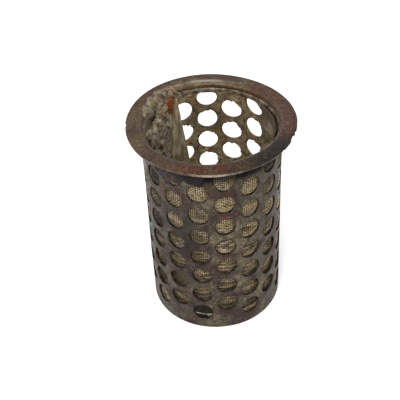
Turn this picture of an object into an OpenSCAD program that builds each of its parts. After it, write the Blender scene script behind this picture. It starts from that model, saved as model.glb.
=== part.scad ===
// Basket strainer: a flanged rim carries a perforated cylinder lined with woven wire cloth.
// All lengths are millimetres. The origin is the centre of the lower edge and +Z is up.
// Bearings are degrees round the axis, from the front (-Y) towards +X.

/* [Basket] */
// Outside diameter of the perforated shell
shell_d = 43; // [42:0.5:45]
// Height from the shell's lower edge to the rim's top face
basket_h = 69.5; // [69.5:0.5:76]
// Thickness of the perforated sheet
sheet_t = 0.6; // [0.5:0.1:0.7]

/* [Rim] */
// Outside diameter of the rim
rim_d = 51.8; // [50:0.2:56]
// Inside diameter of the rim
throat_d = 41.2; // [41.1:0.1:41.4]
// Thickness of the rim
rim_t = 1; // [0.8:0.1:1.2]
// Outer radius of the bend where the rim turns down into its collar
lip_r = 1.6; // [1.4:0.1:1.8]
// Height of the collar below the rim's top face
collar_h = 2.4; // [2.2:0.1:2.5]

/* [Perforations] */
// Diameter of each hole in the shell
hole_d = 6.6; // [4:0.1:6.6]
// Number of hole columns round the shell
column_count = 16; // [8:1:16]
// Angle from one column of holes to the next
column_step = 21.75; // [21.25:0.05:21.8]
// Number of holes in each column
row_count = 7; // [3:1:7]
// Height from one hole to the next in its column
row_pitch = 8.6; // [7.6:0.1:8.6]
// Drop from the rim's top face to the centre of the first hole
first_row_drop = 6.3; // [6.3:0.1:6.5]
// Bearing of the shell's seam
seam_bearing = 220.6; // [0:0.1:360]

/* [Wire cloth] */
// Diameter of one wire, half the thickness of the cloth
wire_d = 0.2; // [0.15:0.01:0.25]
// Thickness of the strap over the cloth's seam
strap_t = 0.55; // [0.4:0.05:0.7]

/* [Bottom] */
// Height of the bottom plate above the shell's lower edge
plate_lift = 1.5; // [1.2:0.1:2]
// Thickness of the bottom plate
plate_t = 1; // [0.8:0.1:1.2]
// Distance between holes in the bottom plate
plate_pitch = 8; // [7.4:0.1:8]
// Width of the ring that holds the cloth's lower edge
ring_h = 2.5; // [2:0.1:3]

/* [Hidden] */
$fn = 96;
past = 1;

shell_r = shell_d / 2;
shell_in = shell_r - sheet_t;
rim_r = rim_d / 2;
rim_in = throat_d / 2;
rim_under = basket_h - rim_t;
edge_r = 0.35;
shell_top = basket_h - collar_h;

// The rim's underside is relieved over its solder, so that its seat stands clear of it.
seat_relief = 0.1;
solder_z = rim_under + seat_relief;

column_span = (column_count - 1) * column_step;
seam_gap = 360 - column_span;
seam_slit = 0.5;
seam_bead = 1.4;
seam_bead_proud = 0.12;
seam_bead_foot = 5;

fillet_w = 1.4;
fillet_h = 1.7;
seat_gap = 0.2;
seat_in = shell_r + fillet_w + seat_gap;
top_solder_h = 0.5;
cloth_drop = 0.4;

cloth_t = 2 * wire_d;
cloth_out = shell_in;
cloth_in = cloth_out - cloth_t;
cloth_top = shell_top - cloth_drop;
disc_z = plate_lift + plate_t;
cloth_z = disc_z + cloth_t;
strap_in = cloth_in - strap_t;
ring_t = 0.6;

// The strap's left edge is upright. Its right edge starts on strap_mid, slants down to
// strap_kink and then runs upright. Its sides are angles from strap_mid.
strap_mid = 211;
strap_left = 9.5;
strap_right = 11;
strap_kink = 36;
strap_drop = 0.1;
strap_gap = 1;
strap_top = cloth_top - strap_drop;
strap_foot = cloth_z + ring_h + strap_gap;

solder_gap = 0.6;
solder_start = strap_mid + strap_left + solder_gap;
solder_sweep = 24;
solder_t = 0.45;
solder_foot = 26;
solder_slope = 8;
lump_count = 10;
lump_r = 1.5;
lump_drop = 1.8;
lump_rise = 0.15;
lump_vary = 0.1;
lump_step = 3.7;
lump_spread = 0.32;
lump_turn = 137;

trace_bearing = 217.3;
trace_t = 0.35;
trace_w = 1.9;
trace_h = 5;
trace_drop = 1.2;
trace_dip = 0.8;

plate_ring_count = 2;
bottom_fillet_gap = 0.3;

function arc_length(radius, angle) = radius * angle * PI / 180;
function column_bearing(i) = seam_bearing + seam_gap / 2 + i * column_step;
function hole_z(i, row) = basket_h - first_row_drop - (row + (i % 2) / 2) * row_pitch;

// Puts children on a bearing, with their +X pointing straight out from the axis
module at_bearing(bearing) {
    rotate([0, 0, bearing - 90]) children();
}

module tube(outer, inner, z0, z1) {
    translate([0, 0, z0]) difference() {
        cylinder(r = outer, h = z1 - z0);
        translate([0, 0, -past]) cylinder(r = inner, h = z1 - z0 + 2 * past);
    }
}

// Cuts a curved panel out of a tube: points are [across, height] on a plane that faces the axis
module wall_panel(bearing, outer, inner, points) {
    intersection() {
        at_bearing(bearing) tube(outer, inner, 0, basket_h);
        at_bearing(bearing) rotate([90, 0, 90]) linear_extrude(outer + past) polygon(points);
    }
}

// The rim is an angle ring: a flat flange, a rounded lip and a short collar that stands on the shell.
module rim_section() {
    flat_start = rim_in + lip_r;
    translate([flat_start, solder_z]) square([seat_in - flat_start, rim_t - seat_relief]);
    translate([seat_in, rim_under]) square([rim_r - edge_r - seat_in, rim_t]);
    translate([rim_r - 2 * edge_r, rim_under + edge_r]) square([2 * edge_r, rim_t - 2 * edge_r]);
    for (z = [rim_under + edge_r, basket_h - edge_r])
        translate([rim_r - edge_r, z]) circle(r = edge_r);
    intersection() {
        translate([flat_start, basket_h - lip_r]) circle(r = lip_r);
        union() {
            translate([rim_in, solder_z]) square([lip_r, rim_t]);
            translate([rim_in, basket_h - lip_r]) square([shell_r - rim_in, lip_r]);
        }
    }
    translate([rim_in, shell_top]) square([shell_r - rim_in, collar_h - lip_r]);
}

module rim_flange() {
    color("#6b5346") rotate_extrude() rim_section();
}

module rim_solder_fillet() {
    color("#55564a") rotate_extrude()
        polygon([[shell_r, solder_z], [shell_r + fillet_w, solder_z], [shell_r, solder_z - fillet_h]]);
}

module shell_holes() {
    for (i = [0 : column_count - 1], row = [0 : row_count - 1])
        at_bearing(column_bearing(i))
            translate([shell_in - past, 0, hole_z(i, row)])
                rotate([0, 90, 0]) cylinder(d = hole_d, h = sheet_t + 2 * past);
}

module seam_cut(width) {
    at_bearing(seam_bearing)
        translate([shell_in - past, -width / 2, -past]) cube([sheet_t + 2 * past, width, basket_h + past]);
}

module perforated_shell() {
    color("#5f5c50") difference() {
        at_bearing(seam_bearing) tube(shell_r, shell_in, 0, shell_top);
        shell_holes();
        seam_cut(seam_slit);
    }
}

// Solder fills the slit where the rolled sheet meets and stands a little proud outside.
module shell_seam_solder() {
    bead_top = solder_z - fillet_h;
    half = seam_bead / 2;
    slit = seam_slit / 2;
    color("#77756a") {
        wall_panel(seam_bearing, shell_r, shell_in, [[-slit, 0], [slit, 0], [slit, shell_top], [-slit, shell_top]]);
        wall_panel(seam_bearing, shell_r + seam_bead_proud, shell_r,
            [[-half, seam_bead_foot], [half, seam_bead_foot], [half, bead_top], [-half, bead_top]]);
    }
}

module mesh_liner() {
    color("#8c7a52") tube(cloth_out, cloth_in, cloth_z, cloth_top);
}

// Solder joins the cloth's upper edge to the shell and runs up the inside of the collar.
module mesh_top_solder() {
    color("#8a8068") rotate_extrude()
        polygon([[shell_in, cloth_top], [cloth_in, cloth_top], [rim_in, shell_top + top_solder_h],
            [rim_in, shell_top], [shell_in, shell_top]]);
}

module mesh_seam_strap() {
    left = arc_length(cloth_in, strap_left);
    right = arc_length(cloth_in, strap_right);
    color("#6a6a58") wall_panel(strap_mid, cloth_in, strap_in,
        [[left, strap_foot], [left, strap_top], [0, strap_top], [-right, strap_kink], [-right, strap_foot]]);
}

// One lump of solder, rooted inside the thickness of the solder sheet
module solder_lump(k) {
    root_r = cloth_in - solder_t / 2;
    intersection() {
        at_bearing(solder_start + solder_sweep * (0.5 + lump_spread * sin(lump_turn * k)))
            translate([root_r - lump_rise, 0, strap_top - lump_drop - lump_step * k])
                sphere(r = lump_r * (1 - lump_vary * (k % 3)));
        cylinder(r = root_r, h = basket_h);
    }
}

module strap_solder() {
    reach = arc_length(cloth_in, solder_sweep / 2);
    color("#7d7b6c") {
        wall_panel(solder_start + solder_sweep / 2, cloth_in, cloth_in - solder_t,
            [[-reach, solder_foot], [reach, solder_foot + solder_slope], [reach, strap_top], [-reach, strap_top]]);
        for (k = [0 : lump_count - 1]) solder_lump(k);
    }
}

module sealant_trace() {
    top = cloth_top - trace_drop;
    color("#a0401c") wall_panel(trace_bearing, strap_in, strap_in - trace_t,
        [[-trace_w / 2, top - trace_h], [0, top - trace_h - trace_dip], [trace_w / 2, top - trace_h],
         [trace_w / 2, top], [-trace_w / 2, top]]);
}

module mesh_bottom_ring() {
    color("#6b6a5c") tube(cloth_in, cloth_in - ring_t, cloth_z, cloth_z + ring_h);
}

module bottom_mesh_disc() {
    color("#8c7a52") translate([0, 0, disc_z]) cylinder(r = shell_in, h = cloth_t);
}

// Rings of holes on a triangular grid round a centre hole
module plate_holes() {
    for (a = [-plate_ring_count : plate_ring_count], b = [-plate_ring_count : plate_ring_count])
        if (abs(a + b) <= plate_ring_count)
            translate([plate_pitch * (a + b / 2), plate_pitch * b * sin(60), -past])
                cylinder(d = hole_d, h = plate_t + 2 * past);
}

module bottom_plate() {
    color("#5a574c") translate([0, 0, plate_lift]) difference() {
        cylinder(r = shell_in, h = plate_t);
        plate_holes();
    }
}

module bottom_solder_fillet() {
    leg = plate_lift - bottom_fillet_gap;
    color("#77756a") rotate_extrude()
        polygon([[shell_in, plate_lift], [shell_in - leg, plate_lift], [shell_in, plate_lift - leg]]);
}

rim_flange();
rim_solder_fillet();
perforated_shell();
shell_seam_solder();
mesh_liner();
mesh_top_solder();
mesh_seam_strap();
strap_solder();
sealant_trace();
mesh_bottom_ring();
bottom_mesh_disc();
bottom_plate();
bottom_solder_fillet();
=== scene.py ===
"""Looks of a used basket strainer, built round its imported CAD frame.

Lengths are millimetres until a mesh is made, where MM turns them into metres. Bearings are degrees
round the basket's axis, from the front (-Y) towards +X, as in the CAD part.
"""
import math

import bmesh
import bpy
import numpy as np
from mathutils import Matrix, Vector


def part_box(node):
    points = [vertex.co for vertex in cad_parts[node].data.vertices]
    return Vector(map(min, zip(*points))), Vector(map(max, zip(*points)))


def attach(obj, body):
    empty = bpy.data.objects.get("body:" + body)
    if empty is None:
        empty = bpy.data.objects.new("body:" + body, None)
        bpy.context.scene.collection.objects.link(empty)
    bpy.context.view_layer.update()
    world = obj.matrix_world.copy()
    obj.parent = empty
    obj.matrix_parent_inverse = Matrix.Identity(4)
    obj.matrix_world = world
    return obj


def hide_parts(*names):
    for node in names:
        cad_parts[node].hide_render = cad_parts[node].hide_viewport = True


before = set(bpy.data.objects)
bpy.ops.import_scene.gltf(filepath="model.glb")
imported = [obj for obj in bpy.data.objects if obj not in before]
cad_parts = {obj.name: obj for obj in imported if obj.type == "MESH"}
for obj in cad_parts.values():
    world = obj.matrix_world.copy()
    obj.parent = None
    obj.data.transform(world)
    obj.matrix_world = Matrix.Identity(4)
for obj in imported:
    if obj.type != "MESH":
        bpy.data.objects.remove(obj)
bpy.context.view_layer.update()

MM = 0.001


def node_span(node):
    """(outer radius, lowest z, highest z) of a round CAD node, in millimetres."""
    low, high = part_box(node)
    return high.x / MM, low.z / MM, high.z / MM


# Sizes from the frame
SHELL_R, _, SHELL_TOP = node_span("perforated_shell")
RIM_R, COLLAR_FOOT, RIM_TOP = node_span("rim_flange")
CLOTH_OUT, CLOTH_FOOT, CLOTH_TOP = node_span("mesh_liner")
DISC_R, DISC_FOOT, DISC_TOP = node_span("bottom_mesh_disc")
RING_R, RING_FOOT, RING_TOP = node_span("mesh_bottom_ring")
FILLET_R, FILLET_FOOT, FILLET_TOP = node_span("rim_solder_fillet")
CLOTH_T = DISC_TOP - DISC_FOOT
CLOTH_IN = CLOTH_OUT - CLOTH_T
CLOTH_MID = (CLOTH_OUT + CLOTH_IN) / 2
SHEET_T = SHELL_R - CLOTH_OUT

# The rim's section, as in the CAD part
THROAT_R = 20.6
RIM_T = 1.0
LIP_R = 1.6
RIM_UNDER = RIM_TOP - RIM_T

# The hole pattern, as in the CAD part
HOLE_R = 3.3
COLUMNS = 16
ROWS = 7
COLUMN_STEP = 21.75
ROW_PITCH = 8.6
FIRST_ROW_DROP = 6.3
SEAM_BEARING = 220.6
SEAM_GAP = 360 - (COLUMNS - 1) * COLUMN_STEP
SEAM_SLIT = 0.5
# The upper holes at the back, where the cloth is torn away and the holes are worn a little taller
TORN_COLUMNS = (12, 15)
TORN_ROWS = 4
WORN_HOLE = (1.0, 1.07)
# The lower edge of the soot and painted shadow under the rim
SHADOW_AND_SOOT_FOOT = 61.6

# How the rim is bent: all round, as a tilt and as a twist, and how far down the wall it fades out
BEND_ALL, BEND_TILT, BEND_TWIST = 0.16, 0.55, 0.35
BEND_FADE = 7
# How far the worked sheet has crept: degrees round by the seam, at the right side and high up in front
CREEP_SEAM, CREEP_SIDE, CREEP_FRONT = 0.9, 1.7, 0.5
# and millimetres up at the back and down in front
CREEP_UP, CREEP_DOWN = 0.45, 0.55
# Steps round the turned pieces near the rim, and of those at the foot
FINE_TURN = 420
COARSE_TURN = 300


# ---------------------------------------------------------------- places and fields

def column_bearing(column):
    return SEAM_BEARING + SEAM_GAP / 2 + column * COLUMN_STEP


def hole_z(column, row):
    return RIM_TOP - FIRST_ROW_DROP - (row + (column % 2) / 2) * ROW_PITCH


def is_torn_hole(column, row):
    return (column >= TORN_COLUMNS[0]) & (column <= TORN_COLUMNS[1]) & (row < TORN_ROWS)


def on_wall(bearing, radius, z):
    """Arrays or numbers of bearing, radius and z to an array of points."""
    t = np.radians(bearing)
    return np.stack(np.broadcast_arrays(radius * np.sin(t), -radius * np.cos(t), z), axis=-1)


def nearest_hole(bearing, z):
    """Distance along the wall to the nearest hole's centre, and that hole's column and row."""
    turn = np.mod(bearing - column_bearing(0) + COLUMN_STEP / 2, 360)
    column = np.clip(np.floor(turn / COLUMN_STEP), 0, COLUMNS - 1)
    across = np.radians(turn - COLUMN_STEP / 2 - column * COLUMN_STEP) * SHELL_R
    down = RIM_TOP - FIRST_ROW_DROP - z - (column % 2) / 2 * ROW_PITCH
    row = np.clip(np.round(down / ROW_PITCH), 0, ROWS - 1)
    return np.hypot(across, down - row * ROW_PITCH), column, row


def lattice_noise(seed, period, size=64):
    """A smooth random function of (bearing, z) that repeats round the wall, with features of period mm."""
    table = np.random.default_rng(seed).uniform(-1, 1, (size, size))
    around = max(3, round(2 * math.pi * SHELL_R / period))

    def sample(bearing, z):
        u = np.mod(np.asarray(bearing) / 360, 1) * around
        v = np.asarray(z) / period + 7
        i, j = np.floor(u).astype(int), np.floor(v).astype(int)
        fu, fv = u - i, v - j
        fu, fv = fu * fu * (3 - 2 * fu), fv * fv * (3 - 2 * fv)
        at = lambda a, b: table[np.mod(a, around) % size, np.mod(b, size)]
        low = at(i, j) * (1 - fu) + at(i + 1, j) * fu
        high = at(i, j + 1) * (1 - fu) + at(i + 1, j + 1) * fu
        return low * (1 - fv) + high * fv

    return sample


def layered(*layers):
    """Adds lattice noises: each layer is (seed, period, weight)."""
    parts = [(lattice_noise(seed, period), weight) for seed, period, weight in layers]
    return lambda bearing, z: sum(weight * sample(bearing, z) for sample, weight in parts)


def ease(low, high, value):
    """0 where the value is past low, 1 where it is past high, and a soft rise between them."""
    t = np.clip((np.asarray(value, float) - low) / (high - low), 0, 1)
    return t * t * (3 - 2 * t)


def window(value, start, full, past, end):
    """Rises from 0 at start to 1 at full, then falls from 1 at past to 0 at end."""
    return ease(start, full, value) * ease(end, past, value)


def from_front(bearing):
    """Degrees from the front, -180 to 180."""
    return np.mod(bearing + 180, 360) - 180


def grid(*values):
    return np.meshgrid(*values, indexing="ij")


dent = layered((11, 22, 0.10), (12, 9, 0.035))


def bend(bearing):
    """How far the rim has been bent up or down at each bearing."""
    t = np.radians(bearing)
    return BEND_ALL + BEND_TILT * np.cos(t) + BEND_TWIST * np.sin(2 * t)


def bent(bearing, z):
    """z after the bend, which fades out down the wall."""
    return z + bend(bearing) * ease(COLLAR_FOOT - BEND_FADE, COLLAR_FOOT, z)


def drift(bearing, z):
    """How far the worked sheet has crept: (degrees round the axis, millimetres up)."""
    around = np.mod(bearing, 360)
    hold = window(z, 0, 45, COLLAR_FOOT - 4, COLLAR_FOOT)
    front = window(from_front(bearing), -62, -18, 10, 38)
    back = window(around, 140, 158, 225, 250)
    side = window(around, 112, 132, 145, 157)
    seam = window(around, 190, 200, 212, 225)
    upper = ease(26, 38, z)
    round_by = CREEP_SEAM * seam - CREEP_SIDE * side - CREEP_FRONT * front * upper
    return round_by * hold, (CREEP_UP * back - CREEP_DOWN * front) * hold


# ---------------------------------------------------------------- making pieces

def new_object(name, points, faces, material):
    mesh = bpy.data.meshes.new(name)
    mesh.from_pydata((np.asarray(points) * MM).tolist(), [], [list(map(int, f)) for f in faces])
    mesh.update()
    mesh.shade_smooth()
    mesh.materials.append(material)
    piece = bpy.data.objects.new(name, mesh)
    bpy.context.scene.collection.objects.link(piece)
    return piece


def register(piece, slot, *nodes):
    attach(piece, "root")
    if nodes:
        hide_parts(*nodes)
    return piece


def bake_modifiers(piece):
    """Applies every modifier to the piece's own mesh."""
    depsgraph = bpy.context.evaluated_depsgraph_get()
    mesh = bpy.data.meshes.new_from_object(piece.evaluated_get(depsgraph))
    piece.modifiers.clear()
    old = piece.data
    piece.data = mesh
    bpy.data.meshes.remove(old)
    return piece


def clean(piece, closed=False):
    """Deletes points that no face uses, and turns the faces of a closed piece outwards."""
    mesh = bmesh.new()
    mesh.from_mesh(piece.data)
    bmesh.ops.delete(mesh, geom=[v for v in mesh.verts if not v.link_faces], context="VERTS")
    if closed:
        bmesh.ops.recalc_face_normals(mesh, faces=mesh.faces)
    mesh.to_mesh(piece.data)
    mesh.free()


def places_of(items, name):
    """The places of a mesh's points or faces, in millimetres."""
    places = np.empty(len(items) * 3)
    items.foreach_get(name, places)
    return places.reshape(-1, 3) / MM


def polar_of(points):
    bearing = np.degrees(np.arctan2(points[:, 0], -points[:, 1]))
    return np.mod(bearing, 360), np.hypot(points[:, 0], points[:, 1]), points[:, 2]


def dent_wall(piece):
    """Gives every point the shell's own dents, creep and bend, so that nested walls keep their gaps."""
    bearing, radius, z = polar_of(places_of(piece.data.vertices, "co"))
    hold = ease(COLLAR_FOOT, COLLAR_FOOT - 8, z)
    round_by, up_by = drift(bearing, z)
    dented = radius + hold * dent(bearing, z)
    points = on_wall(bearing + round_by, dented, bent(bearing, z) + up_by)
    piece.data.vertices.foreach_set("co", (points * MM).ravel())
    piece.data.update()


def lathe(name, profile, material, segments, wobble):
    """Turns a closed profile of (radius, z) round the axis, shifted by wobble(bearing, radius, z)."""
    profile = np.asarray(profile, float)
    count = len(profile)
    bearing = np.arange(segments) * 360 / segments
    bearings, index = grid(bearing, np.arange(count))
    radius, z = wobble(bearings, profile[index, 0], profile[index, 1])
    points = on_wall(bearings, radius, z).reshape(-1, 3)
    i, k = grid(np.arange(segments), np.arange(count))
    i2, k2 = (i + 1) % segments, (k + 1) % count
    faces = np.stack([i * count + k, i2 * count + k, i2 * count + k2, i * count + k2], -1).reshape(-1, 4)
    return new_object(name, points, faces, material)


def arc(centre, radius, start, end, steps):
    """Points on an arc in the (radius, z) plane, angles in degrees from outwards to up."""
    angles = np.radians(np.linspace(start, end, steps + 1))
    return [(centre[0] + radius * math.cos(a), centre[1] + radius * math.sin(a)) for a in angles]


# ---------------------------------------------------------------- materials

class Nodes:
    """A short way to build one material's node tree."""

    def __init__(self, name):
        self.material = bpy.data.materials.new(name)
        self.material.use_nodes = True
        self.tree = self.material.node_tree
        self.shader = self.tree.nodes["Principled BSDF"]
        self.coords = self.tree.nodes.new("ShaderNodeTexCoord").outputs["Object"]

    def link(self, value, socket):
        if isinstance(value, bpy.types.NodeSocket):
            self.tree.links.new(value, socket)
        else:
            socket.default_value = value

    def add(self, kind, output, inputs, **settings):
        """Adds a node with its own settings and inputs, and returns one of its outputs."""
        node = self.tree.nodes.new("ShaderNode" + kind)
        for name, value in settings.items():
            setattr(node, name, value)
        for socket, value in inputs.items():
            self.link(value, node.inputs[socket])
        return node.outputs[output]

    def stretch(self, longer, turn=(0, 0, 0)):
        """Coordinates turned by degrees about each axis, then drawn out by a factor along each axis."""
        inputs = {"Vector": self.coords, "Rotation": [math.radians(a) for a in turn], "Scale": longer}
        return self.add("Mapping", "Vector", inputs, vector_type="TEXTURE")

    def noise(self, size_mm, detail=4, roughness=0.55, distortion=0.0, vector=None):
        place = {"Vector": vector or self.coords, "Scale": 1 / (size_mm * MM)}
        look = {"Detail": detail, "Roughness": roughness, "Distortion": distortion}
        return self.add("TexNoise", "Fac", place | look)

    def ramp(self, value, *stops):
        """stops are (position, grey or colour)."""
        node = self.tree.nodes.new("ShaderNodeValToRGB")
        elements = node.color_ramp.elements
        while len(elements) < len(stops):
            elements.new(0.5)
        for element, (position, colour) in zip(elements, stops):
            element.position = position
            grey = (colour, colour, colour) if isinstance(colour, (int, float)) else colour
            element.color = (*grey, 1)
        self.link(value, node.inputs["Fac"])
        return node.outputs["Color"]

    def mix(self, factor, a, b, mode="MIX"):
        node = self.tree.nodes.new("ShaderNodeMix")
        node.data_type = "RGBA"
        node.blend_type = mode
        self.link(factor, node.inputs["Factor"])
        for value, socket in ((a, node.inputs["A"]), (b, node.inputs["B"])):
            self.link(value if isinstance(value, bpy.types.NodeSocket) else (*value, 1), socket)
        return node.outputs["Result"]

    def maths(self, operation, a, b):
        return self.add("Math", "Value", {0: a, 1: b}, operation=operation)

    def times(self, value, factor):
        return self.maths("MULTIPLY", value, factor)

    def patches(self, low, high, *noise):
        """Blotches of a noise: 0 where it is under low, 1 where it is over high."""
        return self.ramp(self.noise(*noise), (low, 0.0), (high, 1.0))

    def mottle(self, colour, dark, light, *noise):
        """Varies how light a colour is with a noise, by factors from dark to light."""
        return self.mix(1.0, colour, self.ramp(self.noise(*noise), (0.36, dark), (0.64, light)), "MULTIPLY")

    def uneven(self, low, high, *noise, full=0.75):
        """A number that wanders from low to high with a noise, and is high where the noise is over full."""
        return self.ramp(self.noise(*noise), (0.3, low), (full, high))

    def bump(self, height, distance_mm, strength=1.0, below=None):
        inputs = {"Distance": distance_mm * MM, "Strength": strength, "Height": height}
        return self.add("Bump", "Normal", inputs | ({"Normal": below} if below else {}))

    def spot(self, bearing, z, size_mm, radius=SHELL_R):
        """A ragged stain round one place on a wall, or on the rim: 0 outside it, up to 0.85 inside."""
        place = (on_wall(bearing, radius, z) * MM).tolist()
        away = self.add("VectorMath", "Value", {0: self.coords, 1: place}, operation="DISTANCE")
        distance = self.maths("DIVIDE", away, size_mm * MM)
        ragged = self.maths("ADD", distance, self.times(self.noise(size_mm * 0.4, 5, 0.7, 0.4), 1.6))
        return self.ramp(self.times(ragged, 0.5), (0.42, 0.85), (0.74, 0.0))

    def stain(self, colour, tint, strength, places, radius=SHELL_R):
        """Lays a tint over a colour at places, each (bearing, z, size)."""
        for bearing, z, size in places:
            colour = self.mix(self.times(self.spot(bearing, z, size, radius), strength), colour, tint)
        return colour

    def from_axis(self):
        """Distance from the basket's axis, in metres."""
        flat = self.add("VectorMath", "Vector", {0: self.coords, 1: (1, 1, 0)}, operation="MULTIPLY")
        return self.add("VectorMath", "Value", {0: flat}, operation="LENGTH")

    def band(self, value, none_mm, full_mm):
        """0 where a length in metres is none_mm, 1 where it is full_mm, and level past both."""
        inputs = {"Value": value, "From Min": none_mm * MM, "From Max": full_mm * MM}
        return self.add("MapRange", "Result", inputs, interpolation_type="SMOOTHSTEP")

    def height(self):
        return self.add("SeparateXYZ", "Z", {"Vector": self.coords})

    def below(self, z, fade):
        """0 above height z, rising to 1 as far below it as fade says."""
        ragged = self.maths("ADD", self.times(self.height(), 1 / (fade * MM)), self.noise(3, 3))
        return self.ramp(self.maths("SUBTRACT", ragged, z / fade - 0.5), (0.0, 1.0), (1.0, 0.0))

    def finish(self, colour, roughness, normal=None, metallic=0.0, specular=0.5):
        """Joins it all to the shader. specular is None where it is already linked."""
        self.link(colour, self.shader.inputs["Base Color"])
        self.link(roughness, self.shader.inputs["Roughness"])
        self.shader.inputs["Metallic"].default_value = metallic
        if specular is not None:
            self.shader.inputs["Specular IOR Level"].default_value = specular
        if normal:
            self.link(normal, self.shader.inputs["Normal"])
        return self.material


def srgb(red, green, blue):
    """An 8-bit screen colour as a linear one."""
    shares = [c / 255 for c in (red, green, blue)]
    return tuple(c / 12.92 if c <= 0.04045 else ((c + 0.055) / 1.055) ** 2.4 for c in shares)


# Painted light: how much less a surface has to reflect than its colour in the light asks for. Outside the
# basket it gets the whole studio's light; inside it gets little, so inside colours are painted lighter to
# make up for it.
OUTSIDE = 0.42
INSIDE = 1.0


def tone(red, green, blue, light=OUTSIDE):
    """The reflectance that shows about this 8-bit screen colour in the studio's light."""
    return tuple(min(c * light, 0.9) for c in srgb(red, green, blue))


def shell_metal():
    """Tarnished grey-green sheet with purple-brown, reddish and pale stains, some at set places, soot and
    painted shadow under the rim and a painted bluish shade on its sides.
    """
    n = Nodes("shell_metal")
    grey_green, pale = tone(90, 81, 64), tone(128, 115, 88)
    purple, rust, dark, blue = tone(69, 48, 44), tone(94, 60, 46), tone(46, 37, 30), tone(80, 84, 82)
    colour = n.mix(n.times(n.patches(0.52, 0.70, 3.2, 5, 0.65, 0.8), 0.55), grey_green, pale)
    colour = n.mix(n.patches(0.44, 0.60, 8, 5, 0.6, 0.5), colour, purple)
    colour = n.mix(n.times(n.patches(0.56, 0.70, 4, 4, 0.6), 0.7), colour, rust)
    # (bearing, z, size, tint), each laid over those before it; the blue ones on the left and right sides
    # are painted shade, the cool cast of the sides turned from the light
    stains = (
        (-26, 44, 14, dark), (-24, 26, 14, purple), (-3, 22, 8, purple), (-3, 48, 7, purple),
        (0, 2, 9, pale), (40, 14, 9, pale), (-22, 36, 9, purple), (-12, 27, 5, purple),
        (-44, 55, 6, rust), (-4, 59, 3, rust), (7, 50, 5, rust), (-1, 32, 5, pale),
        (22, 30, 7, pale), (57, 27, 6, rust), (-33, 46, 6, dark), (-26, 35, 9, dark),
        (-27, 55, 7, purple), (-20, 7, 9, purple), (18, 45, 6, pale), (0, 41, 5, pale),
        (-5, 55, 4, pale), (-74, 58, 9, blue), (-72, 36, 10, blue), (68, 57, 9, blue),
        (-25, 46, 5, dark), (-24, 38, 9, dark), (64, 34, 10, rust), (19, 37, 7, pale),
        (19, 21, 7, pale), (-38, 31, 8, purple))
    for bearing, z, size, tint in stains:
        colour = n.mix(n.spot(bearing, z, size), colour, tint)
    # Soot and painted shadow under the rim: a near-black band below it, with less specular
    soot_and_shadow = n.band(n.height(), SHADOW_AND_SOOT_FOOT, SHADOW_AND_SOOT_FOOT + 2.6)
    colour = n.mix(n.times(soot_and_shadow, 0.96), colour, tone(14, 12, 10))
    blotch = n.ramp(n.noise(1.7, 5, 0.7, 0.5), (0.35, 0.4), (0.65, 1.6))
    colour = n.mix(0.85, colour, blotch, "MULTIPLY")
    colour = n.mottle(colour, 0.5, 1.5, 0.8, 3, 0.7)
    pits = n.bump(n.noise(0.5, 5, 0.75), 0.13)
    normal = n.bump(n.noise(3.5, 3, 0.5), 0.35, 1.0, pits)
    n.link(n.maths("SUBTRACT", 0.14, n.times(soot_and_shadow, 0.11)), n.shader.inputs["Specular IOR Level"])
    rough = n.uneven(0.32, 0.68, 2.5, 4, 0.6, full=0.7)
    return n.finish(colour, rough, normal, metallic=0.15, specular=None)


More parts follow.
